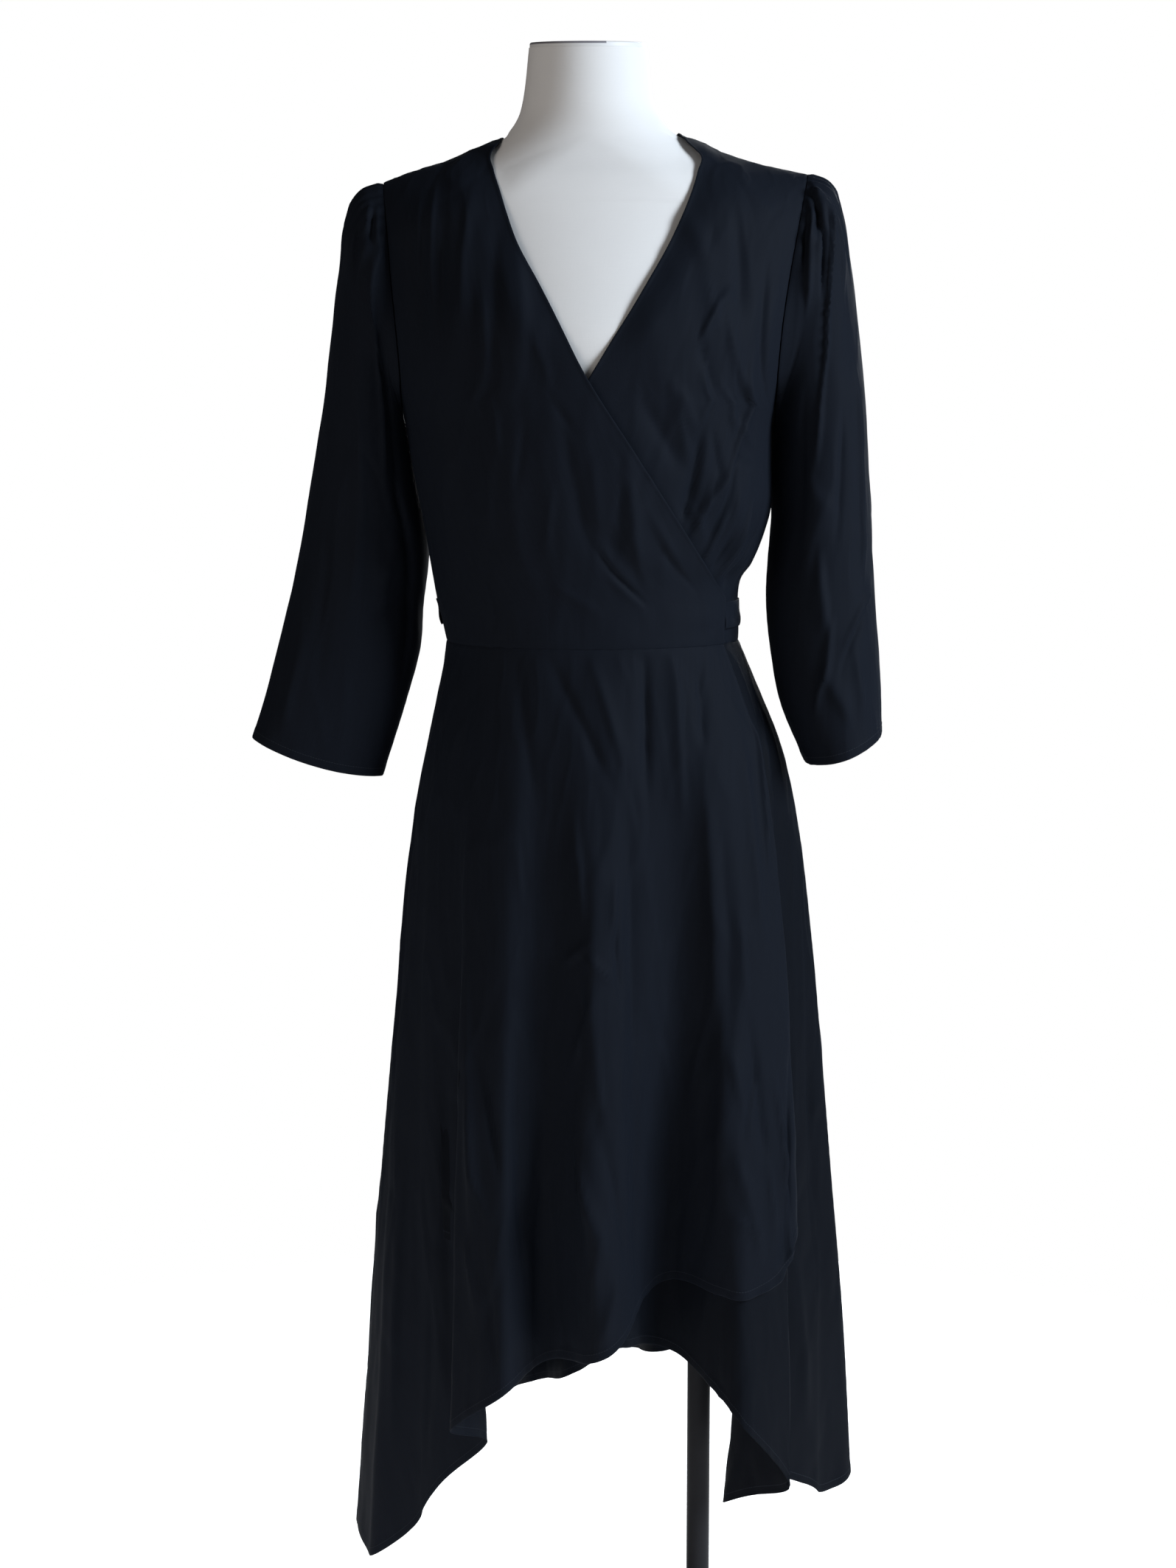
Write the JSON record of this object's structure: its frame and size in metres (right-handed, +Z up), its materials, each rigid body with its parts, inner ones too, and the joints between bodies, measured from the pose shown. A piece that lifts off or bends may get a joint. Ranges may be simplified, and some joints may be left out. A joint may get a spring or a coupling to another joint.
{
  "type": "wrap dress and dress form on a stand",
  "caption": "Near-black wrap dress with V neck, gathered sleeves, side tie and pointed hem, worn by a limbless dress form on a pole and round base.",
  "frame": {"origin": "middle of the base plate's underside, on the floor and on the axis of the neck", "axes": "+Z up along the neck, -Y is the front of the dress, +X is the wearer's left"},
  "size_m": [0.5594, 0.3901, 1.5021],
  "materials": {
    "right_front_bodice": "matte crepe",
    "left_front_bodice": "matte crepe",
    "back_bodice": "matte crepe",
    "right_sleeve": "matte crepe",
    "left_sleeve": "matte crepe",
    "right_front_skirt": "matte crepe",
    "left_front_skirt": "matte crepe",
    "back_skirt": "matte crepe",
    "tie_wrap": "matte crepe",
    "tie_return": "matte crepe",
    "tie_knot": "matte crepe",
    "tie_tail_long": "matte crepe",
    "tie_tail_short": "matte crepe",
    "form_body": "plain linen cover",
    "neck_cap": "satin",
    "stand_pole": "semi-gloss",
    "stand_socket": "semi-gloss",
    "stand_base": "semi-gloss"
  },
  "bodies": {
    "root": {"right_front_bodice": "right_front_bodice", "left_front_bodice": "left_front_bodice", "back_bodice": "back_bodice", "right_sleeve": "right_sleeve", "left_sleeve": "left_sleeve", "right_front_skirt": "right_front_skirt", "left_front_skirt": "left_front_skirt", "back_skirt": "back_skirt", "tie_wrap": "tie_wrap", "tie_return": "tie_return", "tie_knot": "tie_knot", "tie_tail_long": "tie_tail_long", "tie_tail_short": "tie_tail_short", "form_body": "form_body", "neck_cap": "neck_cap", "stand_pole": "stand_pole", "stand_socket": "stand_socket", "stand_base": "stand_base"}
  },
  "joints": []
}
